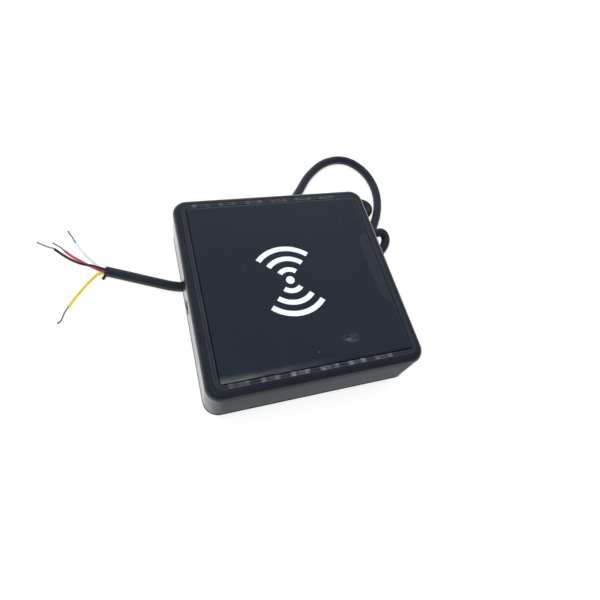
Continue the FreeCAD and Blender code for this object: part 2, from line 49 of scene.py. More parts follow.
# ---------------------------------------------------------------- sizes, mm, as in the CAD source
CABLE_R = 2.15
WIRE_R = 0.55
LAMP_FIRST = -31.4
LAMP_PITCH = 11.2
CABLE_ROUTE = (
    (10.5, 40.5, 11.4),
    # out of the case and down to the table
    (10.5, 51.2, 11.4), (16.5, 54.0, 4.6), (24.3, 63.4, 2.7),
    # wide arc behind the case
    (32.0, 73.9, 2.2), (44.8, 83.6, 2.2), (57.8, 84.5, 2.2), (66.4, 75.3, 2.2), (68.7, 61.9, 2.2),
    (64.6, 47.3, 2.2), (57.0, 35.8, 2.2),
    # loop under the rear right foot
    (48.5, 24.2, 2.2), (39.0, 12.5, 2.2), (25.0, 9.5, 2.2), (17.5, 21.5, 2.2), (21.0, 36.5, 2.2),
    (33.0, 43.0, 2.2), (44.4, 38.4, 3.0),
    # hump over the arc and tight fold beside the case
    (51.6, 29.0, 7.4), (59.2, 30.8, 7.2), (59.8, 24.3, 5.3),
    # second loop under the case
    (50.0, 16.9, 2.3), (46.8, 3.8, 2.2), (39.6, -8.0, 2.2), (26.5, -11.5, 2.2), (12.0, -7.5, 2.2),
    (4.0, 6.0, 2.2), (4.0, 22.0, 2.2), (10.0, 37.0, 2.2),
    # tight fold behind the rear right corner
    (24.0, 46.4, 2.2), (41.0, 46.6, 2.2), (55.2, 43.7, 2.2), (60.3, 49.2, 2.2), (56.8, 54.0, 2.2),
    # back under the case and out on the left
    (44.0, 53.0, 2.2), (28.0, 51.5, 2.2), (13.0, 48.6, 2.2), (-2.0, 41.4, 2.2), (-13.0, 30.0, 2.2),
    (-25.5, 17.6, 2.2), (-41.0, 14.0, 2.2), (-57.0, 20.9, 2.2), (-72.0, 27.4, 2.2),
)
CABLE_OUT = (-0.9176, 0.3976, 0.0)      # direction of the cable's free end
LEADS = (
    ("black",
     ((-71.88, 27.68, 3.2), (-73.9, 28.55, 3.2), (-77.0, 30.6, 2.6), (-79.3, 31.6, 2.1),
      (-82.1, 33.1, 1.5), (-85.3, 35.7, 0.9), (-88.5, 38.7, 0.65), (-91.4, 42.0, 0.65)),
     ((-91.4, 42.0, 0.65), (-91.99, 42.68, 0.65), (-92.7, 42.9, 0.5), (-94.8, 44.1, 0.4),
      (-98.1, 46.5, 0.4))),
    ("red",
     ((-72.14, 27.08, 2.1), (-74.16, 27.95, 2.1), (-76.1, 29.9, 1.2), (-79.0, 32.4, 0.65),
      (-81.9, 34.9, 0.65), (-84.9, 37.4, 0.65), (-87.4, 40.5, 0.65)),
     ((-87.4, 40.5, 0.65), (-87.96, 41.2, 0.65), (-88.8, 42.5, 0.5), (-90.4, 44.0, 0.4),
      (-92.1, 45.5, 0.4))),
    ("white",
     ((-71.64, 28.23, 1.9), (-73.66, 29.1, 1.9), (-76.4, 32.9, 0.65), (-79.8, 37.5, 0.65),
      (-82.9, 43.9, 0.65)),
     ((-82.9, 43.9, 0.65), (-83.29, 44.71, 0.65), (-84.0, 46.4, 0.5), (-84.3, 47.9, 0.45),
      (-85.5, 49.3, 0.4), (-85.7, 51.1, 0.4))),
    ("yellow",
     ((-72.2, 26.94, 0.9), (-74.22, 27.81, 0.9), (-76.2, 26.9, 0.75), (-79.7, 23.5, 0.65),
      (-83.2, 19.3, 0.65), (-85.5, 16.3, 0.65), (-87.3, 13.6, 0.65)),
     ((-87.3, 13.6, 0.65), (-87.8, 12.85, 0.65), (-89.0, 11.1, 0.5), (-89.7, 9.1, 0.45),
      (-90.4, 7.5, 0.4), (-91.6, 7.0, 0.4))),
)

# ---------------------------------------------------------------- looks only, mm
CORE_R = 0.13                           # middle strand of a bared tip
STRAND_R = 0.105                        # each strand round it
STRAND_OFFSET = 0.2                     # from the tip's centre line to a strand's
STRAND_TURN = 3.2                       # length of one full twist
STRAND_SPREAD = (0.5, 0.1, 0.8, 0.3, 0.0, 0.6)     # how far each strand opens at the end
LAMP_PAD = 2.6                          # pads show this far each side of a lamp's centre
RING_BEND = 36.0                        # centre of the ring's corner arcs from the middle
RING_EDGE = 3.55                        # from there to the ring's outer edge
FLANGE_Z = 6.8                          # height of the polished band on the cover's edge
SMUDGE_AT = (13.8, -29.5)               # rubbed patch on the face
EDGE_HIGHLIGHT_Y = -37.6                          # painted highlight along the face's front edge
LABEL_Y = -22.0                         # centre of the label on the underside
LABEL_LINE = (18.2, 8.2)                # its ruled border, half width and half depth
# inset from the film patch's straight edge, and y, along its curved edge
FILM_EDGE = ((0.0, 18.0), (2.7, 16.2), (4.3, 12.0), (4.6, 0.0), (4.4, -9.0), (2.9, -15.0),
             (0.0, -18.4))
FILM_EDGE_SINK = 0.05                   # how far the bead along it sits below the film's top
FILM_EDGE_R = 0.05

# ---------------------------------------------------------------- staging, metres
LENS_MM = 26.70
SENSOR_MM = 36.0
CAMERA_PLACE = (-0.0553945, -0.0811916, 0.1746747)
CAMERA_RIGHT = (0.9405, -0.2607, 0.2181)
CAMERA_BACK = (-0.3124, -0.4103, 0.8568)
FLOOR_HALF = 3.0
FLOOR_BASE = 0.30
FLOOR_GLOW = 0.77                       # the floor's own light, so that it reads white
FLAG_LOW = (-0.052, -0.0640)
FLAG_HIGH = (0.052, -0.0436)
FLAG_Z = 0.0004
FLAG_FADE = (-0.0480, -0.0345)          # in x, from white to the flag's grey
FLAG_GREY = 0.33
SKY_STOPS = ((0.0, 0.24), (0.35, 0.28), (0.62, 0.40), (1.0, 0.75))      # from front to back
SKY_TINT = (0.89, 0.97, 1.12)


# ---------------------------------------------------------------- camera, floor, light
def make_camera():
    data = bpy.data.cameras.new("camera")
    data.sensor_width = SENSOR_MM
    data.lens = LENS_MM
    data.clip_start = 0.005
    camera = bpy.data.objects.new("camera", data)
    scene.collection.objects.link(camera)
    right = Vector(CAMERA_RIGHT)
    back = Vector(CAMERA_BACK).normalized()
    up = back.cross(right).normalized()
    right = up.cross(back)
    turn = Matrix((right, up, back)).transposed()
    camera.matrix_world = Matrix.Translation(CAMERA_PLACE) @ turn.to_4x4()
    scene.camera = camera


def flat_card(name, low, high, z, material):
    """A rectangle facing up, from its lowest to its highest corner."""
    mesh = bpy.data.meshes.new(name)
    corners = [(low[0], low[1], z), (high[0], low[1], z),
               (high[0], high[1], z), (low[0], high[1], z)]
    mesh.from_pydata(corners, [], [(0, 1, 2, 3)])
    mesh.materials.append(material)
    card = bpy.data.objects.new(name, mesh)
    scene.collection.objects.link(card)
    return card


def make_floor():
    material, _, shader = new_material("floor_white")
    shader.inputs["Base Color"].default_value = (FLOOR_BASE, FLOOR_BASE, FLOOR_BASE, 1)
    shader.inputs["Roughness"].default_value = 0.75
    shader.inputs["Specular IOR Level"].default_value = 0.2
    shader.inputs["Emission Color"].default_value = (1, 1, 1, 1)
    shader.inputs["Emission Strength"].default_value = FLOOR_GLOW
    floor = flat_card("floor", (-FLOOR_HALF, -FLOOR_HALF), (FLOOR_HALF, FLOOR_HALF), 0, material)


def area_light(name, place, target, size, watts, colour):
    """A round soft light, left out of gloss so that it makes no glare on the face."""
    data = bpy.data.lights.new(name, "AREA")
    data.shape = "DISK"
    data.size = size
    data.energy = watts
    data.color = colour
    light = bpy.data.objects.new(name, data)
    scene.collection.objects.link(light)
    light.location = place
    aim = Vector(target) - Vector(place)
    light.rotation_euler = aim.to_track_quat("-Z", "Y").to_euler()
    light.visible_glossy = False


def make_lights():
    area_light("key", (-0.35, -0.1, 0.60), (-0.02, 0.0, 0.0), 0.5, 3.6, (1.0, 0.99, 0.97))
    area_light("fill", (0.4, 0.3, 0.7), (0, 0, 0), 0.6, 2.6, (0.95, 0.98, 1.0))


# The flag's grey is painted shade: it stands in for shaded floor in front of the case, which the
# front wall reflects.
def make_flag():
    """A grey card on the floor in front of the case, seen only in its gloss.

    It fades to white at the left, so the case's front corner shows no hard line.
    """
    material, tree, shader = new_material("flag_grey")
    shader.inputs["Base Color"].default_value = (0.0, 0.0, 0.0, 1)
    shader.inputs["Specular IOR Level"].default_value = 0.0
    shader.inputs["Emission Color"].default_value = (0.93, 1.0, 1.04, 1)
    x, _, _ = axis_values(tree, place_of(tree))
    tree.links.new(remap(tree, x, *FLAG_FADE, 1.0, FLAG_GREY), shader.inputs["Emission Strength"])
    flag = flat_card("flag", FLAG_LOW, FLAG_HIGH, FLAG_Z, material)
    for ray in ("camera", "diffuse", "transmission", "shadow", "volume_scatter"):
        setattr(flag, "visible_" + ray, False)


def make_world():
    """A soft sky that brightens from the front to the back."""
    world = bpy.data.worlds.new("studio")
    scene.world = world
    world.use_nodes = True
    tree = world.node_tree
    background = tree.nodes["Background"]
    coords = tree.nodes.new("ShaderNodeTexCoord")
    _, y, _ = axis_values(tree, coords.outputs["Generated"])
    ramp = tree.nodes.new("ShaderNodeValToRGB")
    tree.links.new(remap(tree, y, -1.0, 1.0, 0.0, 1.0), ramp.inputs["Fac"])
    elements = ramp.color_ramp.elements
    while len(elements) < len(SKY_STOPS):
        elements.new(0.5)
    for element, (place, level) in zip(elements, SKY_STOPS):
        element.position = place
        element.color = (*(level * tint for tint in SKY_TINT), 1)
    tree.links.new(ramp.outputs["Color"], background.inputs["Color"])
    background.inputs["Strength"].default_value = 1.0


# ---------------------------------------------------------------- materials
SHELL_IOR = 1.36
PLASTIC_IOR = 1.5
PANEL_IOR = 1.46
RING_IOR = 1.45


def new_material(name):
    material = bpy.data.materials.new(name)
    material.use_nodes = True
    tree = material.node_tree
    return material, tree, tree.nodes["Principled BSDF"]


def place_of(tree):
    coords = tree.nodes.new("ShaderNodeTexCoord")
    return coords.outputs["Object"]


def noise(tree, where, scale, detail=3.0, rough=0.55, stretch=None):
    node = tree.nodes.new("ShaderNodeTexNoise")
    node.inputs["Scale"].default_value = scale
    node.inputs["Detail"].default_value = detail
    node.inputs["Roughness"].default_value = rough
    if stretch is not None:
        mapping = tree.nodes.new("ShaderNodeMapping")
        mapping.inputs["Scale"].default_value = stretch[0]
        mapping.inputs["Rotation"].default_value = stretch[1]
        tree.links.new(where, mapping.inputs["Vector"])
        where = mapping.outputs["Vector"]
    tree.links.new(where, node.inputs["Vector"])
    return node.outputs["Fac"]


def remap(tree, value, a, b, c, d):
    node = tree.nodes.new("ShaderNodeMapRange")
    for key, number in (("From Min", a), ("From Max", b), ("To Min", c), ("To Max", d)):
        node.inputs[key].default_value = number
    tree.links.new(value, node.inputs["Value"])
    return node.outputs["Result"]


def math_node(tree, kind, first, second=None):
    node = tree.nodes.new("ShaderNodeMath")
    node.operation = kind
    for socket, value in zip(node.inputs, (first, second)):
        if value is None:
            continue
        if isinstance(value, (int, float)):
            socket.default_value = value
        else:
            tree.links.new(value, socket)
    return node.outputs[0]


def mix_colour(tree, factor, low, high):
    node = tree.nodes.new("ShaderNodeMix")
    node.data_type = "RGBA"
    tree.links.new(factor, node.inputs["Factor"])
    for socket, value in ((node.inputs[6], low), (node.inputs[7], high)):
        if isinstance(value, tuple):
            socket.default_value = (*value, 1)
        else:
            tree.links.new(value, socket)
    return node.outputs[2]


def bump(tree, height, strength, distance):
    node = tree.nodes.new("ShaderNodeBump")
    node.inputs["Strength"].default_value = strength
    node.inputs["Distance"].default_value = distance
    tree.links.new(height, node.inputs["Height"])
    return node.outputs["Normal"]


def surface(name, dark, light, rough, grain, bump_mm, metal=0.0, patch=60.0):
    """Mottled colour and roughness with a fine grain.

    dark and light are the mottle's two colours, rough its range of roughness, grain the
    grain's size and bump_mm its height, mm. patch is the mottle's scale: larger is finer.
    """
    material, tree, shader = new_material(name)
    where = place_of(tree)
    broad = noise(tree, where, patch)
    fine = noise(tree, where, 1000.0 / grain, 4.0)
    tone = remap(tree, broad, 0.3, 0.7, 0.0, 1.0)
    tree.links.new(mix_colour(tree, tone, dark, light), shader.inputs["Base Color"])
    both = math_node(tree, "ADD", math_node(tree, "MULTIPLY", broad, 0.5),
                     math_node(tree, "MULTIPLY", fine, 0.5))
    tree.links.new(remap(tree, both, 0.35, 0.65, *rough), shader.inputs["Roughness"])
    tree.links.new(bump(tree, fine, 0.6, bump_mm * MM), shader.inputs["Normal"])
    shader.inputs["Metallic"].default_value = metal
    shader.inputs["IOR"].default_value = PLASTIC_IOR
    return material


def axis_values(tree, where):
    split = tree.nodes.new("ShaderNodeSeparateXYZ")
    tree.links.new(where, split.inputs[0])
    return split.outputs


def window(tree, value, centre, half, soft):
    """One inside centre +- half, falling to nought over soft."""
    away = math_node(tree, "ABSOLUTE", math_node(tree, "SUBTRACT", value, centre))
    return remap(tree, away, half, half + soft, 1.0, 0.0)


def shell_material():
    material, tree, shader = new_material("gloss_black_shell")
    where = place_of(tree)
    broad = noise(tree, where, 45.0)
    fine = noise(tree, where, 900.0, 4.0)
    streaks = noise(tree, where, 60.0, 5.0, 0.6, ((9.0, 1.0, 0.6), (0.3, 0.2, 0.7)))
    tone = remap(tree, broad, 0.3, 0.7, 0.0, 1.0)
    colour = mix_colour(tree, tone, (0.0092, 0.0125, 0.0172), (0.0125, 0.0165, 0.0220))
    tree.links.new(colour, shader.inputs["Base Color"])
    worn = math_node(tree, "ADD", math_node(tree, "MULTIPLY", streaks, 0.5),
                     math_node(tree, "MULTIPLY", fine, 0.5))
    tree.links.new(remap(tree, worn, 0.35, 0.68, 0.12, 0.2), shader.inputs["Roughness"])
    tree.links.new(bump(tree, broad, 0.12, 0.25 * MM), shader.inputs["Normal"])
    shader.inputs["IOR"].default_value = SHELL_IOR
    return material


def cover_material():
    """Polished on the flange's edge, finely textured on the underside."""
    material, tree, shader = new_material("moulded_cover")
    where = place_of(tree)
    _, _, z = axis_values(tree, where)
    broad = noise(tree, where, 50.0)
    fine = noise(tree, where, 2600.0, 4.0)
    edge = window(tree, z, FLANGE_Z * MM, 0.5 * MM, 0.2 * MM)
    tone = remap(tree, broad, 0.3, 0.7, 0.0, 1.0)
    tree.links.new(mix_colour(tree, tone, (0.0080, 0.0105, 0.0145), (0.0120, 0.0150, 0.0190)),
                   shader.inputs["Base Color"])
    dull = remap(tree, fine, 0.35, 0.65, 0.42, 0.58)
    polished = remap(tree, broad, 0.35, 0.65, 0.12, 0.2)
    share = math_node(tree, "SUBTRACT", 1.0, edge)
    rough = math_node(tree, "ADD", math_node(tree, "MULTIPLY", dull, share),
                      math_node(tree, "MULTIPLY", polished, edge))
    tree.links.new(rough, shader.inputs["Roughness"])
    height = math_node(tree, "MULTIPLY", fine, share)
    tree.links.new(bump(tree, height, 0.6, 0.06 * MM), shader.inputs["Normal"])
    shader.inputs["IOR"].default_value = SHELL_IOR
    return material


def panel_material():
    material, tree, shader = new_material("gloss_face_panel")
    where = place_of(tree)
    x, y, _ = axis_values(tree, where)
    haze = noise(tree, where, 22.0, 4.0)
    fine = noise(tree, where, 1400.0, 3.0)
    swirl = noise(tree, where, 90.0, 6.0, 0.65, ((14.0, 1.0, 1.0), (0.0, 0.0, 0.9)))
    cross = noise(tree, where, 120.0, 6.0, 0.65, ((1.0, 18.0, 1.0), (0.0, 0.0, 0.25)))
    scratches = math_node(tree, "MAXIMUM", remap(tree, swirl, 0.66, 0.72, 0.0, 1.0),
                          remap(tree, cross, 0.67, 0.73, 0.0, 1.0))
    specks = tree.nodes.new("ShaderNodeTexVoronoi")
    specks.inputs["Scale"].default_value = 170.0
    tree.links.new(where, specks.inputs["Vector"])
    sparse = remap(tree, noise(tree, where, 60.0, 2.0), 0.56, 0.62, 0.0, 1.0)
    dust = math_node(tree, "MULTIPLY",
                     remap(tree, specks.outputs["Distance"], 0.03, 0.055, 1.0, 0.0), sparse)
    rub_x = window(tree, x, SMUDGE_AT[0] * MM, 1.2 * MM, 2.6 * MM)
    rub_y = window(tree, y, SMUDGE_AT[1] * MM, 0.6 * MM, 1.6 * MM)
    rub_grain = noise(tree, where, 260.0, 5.0, 0.65, ((1.0, 3.6, 1.0), (0.0, 0.0, 0.35)))
    rub = math_node(tree, "MULTIPLY", math_node(tree, "MULTIPLY", rub_x, rub_y),
                    remap(tree, rub_grain, 0.44, 0.62, 0.0, 1.0))
    marks = math_node(tree, "MAXIMUM", math_node(tree, "MULTIPLY", dust, 0.75),
                      math_node(tree, "MAXIMUM", math_node(tree, "MULTIPLY", scratches, 0.10),
                                math_node(tree, "MULTIPLY", rub, 0.5)))
    # Painted highlight along the face's front edge: a lighter grey band, brighter towards the left
    # and streaked by noise, mixed into the base colour.
    front = math_node(tree, "MULTIPLY", window(tree, y, EDGE_HIGHLIGHT_Y * MM, 0.5 * MM, 2.4 * MM),
                      remap(tree, x, -0.034, 0.012, 1.0, 0.15))
    highlight_streaks = noise(tree, where, 80.0, 4.0, 0.6, ((1.0, 5.0, 1.0), (0.0, 0.0, 0.1)))
    film_and_edge_highlight = math_node(tree, "MULTIPLY", front, remap(tree, highlight_streaks, 0.35, 0.6, 0.55, 1.0))
    tone = remap(tree, haze, 0.3, 0.7, 0.0, 1.0)
    ground = mix_colour(tree, tone, (0.0065, 0.0100, 0.0165), (0.009, 0.0135, 0.0215))
    ground = mix_colour(tree, math_node(tree, "MULTIPLY", film_and_edge_highlight, film_and_edge_highlight), ground,
                        (0.150, 0.152, 0.148))
    tree.links.new(mix_colour(tree, marks, ground, (0.14, 0.15, 0.165)),
                   shader.inputs["Base Color"])
    gloss = math_node(tree, "ADD", remap(tree, haze, 0.3, 0.7, 0.10, 0.19),
                      math_node(tree, "MULTIPLY", marks, 0.35))
    tree.links.new(gloss, shader.inputs["Roughness"])
    tree.links.new(bump(tree, math_node(tree, "ADD", fine, scratches), 0.05, 0.02 * MM),
                   shader.inputs["Normal"])
    shader.inputs["IOR"].default_value = PANEL_IOR
    return material


def ring_material():
    """Smoked plastic over the lamps: each lamp's two bright pads show through."""
    material, tree, shader = new_material("smoked_light_ring")
    where = place_of(tree)
    x, y, _ = axis_values(tree, where)
    from_start = math_node(tree, "SUBTRACT", x, (LAMP_FIRST - LAMP_PITCH / 2) * MM)
    step = math_node(tree, "DIVIDE", from_start, LAMP_PITCH * MM)
    inside = math_node(tree, "SUBTRACT", math_node(tree, "FRACT", step), 0.5)
    off = math_node(tree, "ABSOLUTE", math_node(tree, "MULTIPLY", inside, LAMP_PITCH))
    pad = window(tree, off, LAMP_PAD, 0.5, 0.9)
    lamp = remap(tree, off, 0.0, 3.2, 0.45, 0.0)
    # Painted shade: the pads show fainter along the back row than along the front.
    row_shade = remap(tree, y, -0.0370, 0.0370, 1.0, 0.45)
    side = remap(tree, math_node(tree, "ABSOLUTE", y), 0.0372, 0.0378, 0.0, 1.0)
    ends = window(tree, x, -3.4 * MM, 31.0 * MM, 2.5 * MM)
    uneven = remap(tree, noise(tree, where, 420.0, 3.0), 0.38, 0.62, 0.2, 1.0)
    glow = math_node(tree, "MULTIPLY", math_node(tree, "MAXIMUM", pad, lamp),
                     math_node(tree, "MULTIPLY", math_node(tree, "MULTIPLY", side, ends),
                               math_node(tree, "MULTIPLY", row_shade, uneven)))
    # distance outwards across the ring, the same round its corners as along its sides
    beyond = []
    for value in (x, y):
        over = math_node(tree, "SUBTRACT", math_node(tree, "ABSOLUTE", value), RING_BEND * MM)
        over = math_node(tree, "MAXIMUM", over, 0.0)
        beyond.append(math_node(tree, "MULTIPLY", over, over))
    across = math_node(tree, "SQRT", math_node(tree, "ADD", *beyond))
    # Painted highlight and shade across the ring: a light line at its outer rim, a dark line just
    # inside it and a fainter light line further in, all mixed into the base colour; the light
    # lines also raise the bump.
    rim = window(tree, across, (RING_EDGE - 0.14) * MM, 0.08 * MM, 0.10 * MM)
    dip_shade = window(tree, across, (RING_EDGE - 0.46) * MM, 0.08 * MM, 0.12 * MM)
    lip = window(tree, across, (RING_EDGE - 1.25) * MM, 0.10 * MM, 0.14 * MM)
    cloud = remap(tree, noise(tree, where, 120.0, 4.0), 0.3, 0.7, 0.0, 1.0)
    ground = mix_colour(tree, cloud, (0.010, 0.013, 0.019), (0.018, 0.022, 0.029))
    ground = mix_colour(tree, math_node(tree, "MULTIPLY", dip_shade, 0.8), ground,
                        (0.006, 0.007, 0.009))
    highlight_lines = math_node(tree, "MAXIMUM", rim, math_node(tree, "MULTIPLY", lip, 0.55))
    ground = mix_colour(tree, math_node(tree, "MULTIPLY", highlight_lines, 0.42), ground,
                        (0.070, 0.077, 0.088))
    tree.links.new(mix_colour(tree, glow, ground, (0.17, 0.175, 0.185)),
                   shader.inputs["Base Color"])
    tree.links.new(remap(tree, cloud, 0.0, 1.0, 0.22, 0.34), shader.inputs["Roughness"])
    height = math_node(tree, "ADD", noise(tree, where, 1500.0, 3.0),
                       math_node(tree, "MULTIPLY", highlight_lines, 2.0))
    tree.links.new(bump(tree, height, 0.1, 0.03 * MM), shader.inputs["Normal"])
    shader.inputs["IOR"].default_value = RING_IOR
    return material


def board_material():
    material, tree, shader = new_material("green_board")
    where = place_of(tree)
    tracks = tree.nodes.new("ShaderNodeTexBrick")
    tracks.inputs["Scale"].default_value = 260.0
    tracks.inputs["Mortar Size"].default_value = 0.035
    tree.links.new(where, tracks.inputs["Vector"])
    tracks.inputs["Color1"].default_value = (0.01, 0.11, 0.05, 1)
    tracks.inputs["Color2"].default_value = (0.012, 0.13, 0.06, 1)
    tracks.inputs["Mortar"].default_value = (0.03, 0.24, 0.11, 1)
    tree.links.new(tracks.outputs["Color"], shader.inputs["Base Color"])
    grain = noise(tree, where, 700.0)
    tree.links.new(remap(tree, grain, 0.3, 0.7, 0.3, 0.45), shader.inputs["Roughness"])
    return material


def winding_material():
    material, tree, shader = new_material("enamelled_winding")
    where = place_of(tree)
    _, _, z = axis_values(tree, where)
    # Painted shade: each turn of wire is coloured lighter on its crown and darker in the crease to
    # the next, in step with the bump.
    turns = math_node(tree, "SINE", math_node(tree, "MULTIPLY", z, 2 * math.pi / (0.3 * MM)))
    shade = remap(tree, turns, -1.0, 1.0, 0.0, 1.0)
    tree.links.new(mix_colour(tree, shade, (0.30, 0.10, 0.035), (0.62, 0.26, 0.10)),
                   shader.inputs["Base Color"])
    tree.links.new(remap(tree, noise(tree, where, 600.0), 0.3, 0.7, 0.25, 0.4),
                   shader.inputs["Roughness"])
    tree.links.new(bump(tree, shade, 0.5, 0.1 * MM), shader.inputs["Normal"])
    shader.inputs["Metallic"].default_value = 0.8
    return material


def label_material():
    """Blank label stock with a plain ruled border."""
    material, tree, shader = new_material("blank_label")
    where = place_of(tree)
    x, y, _ = axis_values(tree, where)
    edge_x = math_node(tree, "ABSOLUTE", x)
    edge_y = math_node(tree, "ABSOLUTE", math_node(tree, "SUBTRACT", y, LABEL_Y * MM))
    near = math_node(tree, "MAXIMUM", math_node(tree, "SUBTRACT", edge_x, LABEL_LINE[0] * MM),
                     math_node(tree, "SUBTRACT", edge_y, LABEL_LINE[1] * MM))
    line = window(tree, near, 0.0, 0.12 * MM, 0.06 * MM)
    paper = mix_colour(tree, noise(tree, where, 300.0), (0.62, 0.62, 0.6), (0.7, 0.7, 0.68))
    tree.links.new(mix_colour(tree, line, paper, (0.06, 0.06, 0.06)), shader.inputs["Base Color"])
    tree.links.new(remap(tree, noise(tree, where, 900.0), 0.3, 0.7, 0.45, 0.6),
                   shader.inputs["Roughness"])
    return material


# name, darker and lighter colour, range of roughness, grain and its height in mm, and where
# they aren't the usual, metalness and scale of the mottle
SURFACES = {
    "ink": ("white_ink", (0.80, 0.84, 0.92), (0.86, 0.89, 0.95), (0.3, 0.42), 0.8, 0.01),
    "film_and_edge_highlight": ("film_patch", (0.0105, 0.0145, 0.0205), (0.0145, 0.0190, 0.0260),
             (0.2, 0.3), 3.0, 0.002, 0.0, 160.0),
    "film_edge": ("film_edge", (0.045, 0.05, 0.055), (0.07, 0.075, 0.08), (0.25, 0.4), 1.0, 0.01),
    "tape": ("foam_tape", (0.05, 0.05, 0.05), (0.08, 0.08, 0.08), (0.7, 0.9), 0.5, 0.05),
    "gasket": ("gasket_rubber", (0.02, 0.02, 0.02), (0.03, 0.03, 0.03), (0.6, 0.8), 0.6, 0.03),
    "foot": ("foot_rubber", (0.012, 0.012, 0.012), (0.025, 0.025, 0.025), (0.55, 0.8), 0.5, 0.05),
    "screw": ("black_zinc", (0.06, 0.06, 0.065), (0.12, 0.12, 0.125),
              (0.25, 0.42), 0.4, 0.02, 0.9),
    "brass": ("brass", (0.55, 0.38, 0.12), (0.7, 0.5, 0.18), (0.25, 0.4), 0.5, 0.02, 1.0),
    "zinc": ("zinc", (0.45, 0.45, 0.46), (0.62, 0.62, 0.63), (0.22, 0.38), 0.4, 0.02, 1.0),
    "tinned": ("tinned_copper", (0.34, 0.33, 0.315), (0.54, 0.52, 0.50),
               (0.28, 0.46), 0.25, 0.01, 1.0),
    "strip": ("strip_white", (0.68, 0.68, 0.66), (0.76, 0.76, 0.74), (0.35, 0.5), 0.7, 0.01),
    "lamp": ("lamp_package", (0.78, 0.72, 0.38), (0.86, 0.82, 0.55), (0.3, 0.45), 0.5, 0.01),
    "chip": ("moulded_black", (0.012, 0.012, 0.013), (0.022, 0.022, 0.023),
             (0.4, 0.55), 0.3, 0.03),
    "ceramic": ("ceramic_tan", (0.32, 0.24, 0.16), (0.42, 0.33, 0.23), (0.45, 0.6), 0.3, 0.01),
    "can": ("drawn_can", (0.55, 0.55, 0.55), (0.7, 0.7, 0.7), (0.2, 0.34), 0.5, 0.01, 1.0),
    "aluminium": ("capacitor_can", (0.62, 0.62, 0.63), (0.74, 0.74, 0.75),
                  (0.25, 0.4), 0.5, 0.01, 1.0),
    "nylon": ("nylon", (0.66, 0.63, 0.54), (0.74, 0.71, 0.62), (0.35, 0.5), 0.5, 0.02),
    "jacket": ("cable_jacket_pvc", (0.0066, 0.0094, 0.0155), (0.0104, 0.0142, 0.0225),
               (0.40, 0.54), 0.45, 0.03, 0.0, 130.0),
    "filler": ("waxed_filler", (0.012, 0.007, 0.005), (0.035, 0.022, 0.016),
               (0.5, 0.75), 0.25, 0.08, 0.0, 400.0),
    "grommet": ("grommet_rubber", (0.012, 0.012, 0.013), (0.02, 0.02, 0.021),
                (0.5, 0.66), 0.5, 0.04),
    "wire_black": ("wire_black", (0.010, 0.010, 0.012), (0.018, 0.018, 0.02),
                   (0.3, 0.42), 0.3, 0.01, 0.0, 300.0),
    "wire_red": ("wire_red", (0.52, 0.030, 0.060), (0.66, 0.050, 0.090),
                 (0.3, 0.42), 0.3, 0.01, 0.0, 300.0),
    "wire_white": ("wire_white", (0.66, 0.66, 0.66), (0.75, 0.75, 0.74),
                   (0.3, 0.42), 0.3, 0.01, 0.0, 300.0),
    "wire_yellow": ("wire_yellow", (0.68, 0.55, 0.02), (0.80, 0.67, 0.04),
                    (0.3, 0.42), 0.3, 0.01, 0.0, 300.0),
}


def make_materials():
    made = {
        "shell": shell_material(),
        "panel": panel_material(),
        "cover": cover_material(),
        "ring": ring_material(),
        "board": board_material(),
        "winding": winding_material(),
        "label": label_material(),
    }
    for look, settings in SURFACES.items():
        made[look] = surface(*settings)
    return made


NODE_LOOKS = {
    "case_shell": "shell", "light_ring": "ring", "face_panel": "panel", "panel_adhesive": "tape",
    "wave_symbol": "ink", "film_tab": "film_and_edge_highlight", "rear_cover": "cover", "case_gasket": "gasket",
    "rubber_feet": "foot", "rear_label": "label", "lock_screw": "screw", "lock_insert": "brass",
    "main_board": "board", "board_screws": "zinc", "antenna_coil": "winding",
    "coil_leads": "tinned", "led_strips": "strip", "leds": "lamp", "led_leads": "tinned",
    "buzzer": "chip", "controller": "chip", "reader_chip": "chip", "crystal": "can",
    "electrolytics": "aluminium", "chip_parts": "ceramic", "regulator": "chip", "diode": "chip",
    "wire_header": "nylon", "wire_plug": "nylon", "inner_wire_black": "wire_black",
    "inner_wire_white": "wire_white", "inner_wire_yellow": "wire_yellow",
    "inner_wire_red": "wire_red", "cable_grommet": "grommet", "cable_entry": "jacket",
    "cable_tie": "nylon", "cable_filler": "filler",
}
SMOOTH_ANGLE = math.radians(32)         # edges sharper than this stay sharp


def smooth_mesh(mesh):
    mesh.shade_smooth()
    mesh.set_sharp_from_angle(angle=SMOOTH_ANGLE)


def dress_nodes(looks):
    for name, look in NODE_LOOKS.items():
        node = nodes_of[name]
        node.data.materials.clear()
        node.data.materials.append(looks[look])
        smooth_mesh(node.data)


# ---------------------------------------------------------------- cable and leads
def metres(points):
    return [Vector(p) * MM for p in points]


def nurbs_curve(name, points, radius, material, resolution=10):
    """A smooth round tube with a route's points, mm, as its control points."""
    data = bpy.data.curves.new(name, "CURVE")
    data.dimensions = "3D"
    spline = data.splines.new("NURBS")
    spline.points.add(len(points) - 1)
    for target, point in zip(spline.points, metres(points)):
        target.co = (*point, 1.0)
    spline.order_u = 3
    spline.use_endpoint_u = True
    spline.use_smooth = True
    spline.resolution_u = resolution
    data.resolution_u = resolution
    data.bevel_depth = radius * MM
    data.bevel_resolution = 6
    data.use_fill_caps = True
    data.use_radius = False
    if material is not None:
        data.materials.append(material)
    curve = bpy.data.objects.new(name, data)
    scene.collection.objects.link(curve)
    return curve


def line_of(points):
    """Points along the smooth line through a route."""
    curve = nurbs_curve("line", points, 0.0, None, 16)
    bpy.context.view_layer.update()
    mesh = bpy.data.meshes.new_from_object(curve)
    line = [v.co.copy() for v in mesh.vertices]
    bpy.data.objects.remove(curve)
    bpy.data.meshes.remove(mesh)
    return line


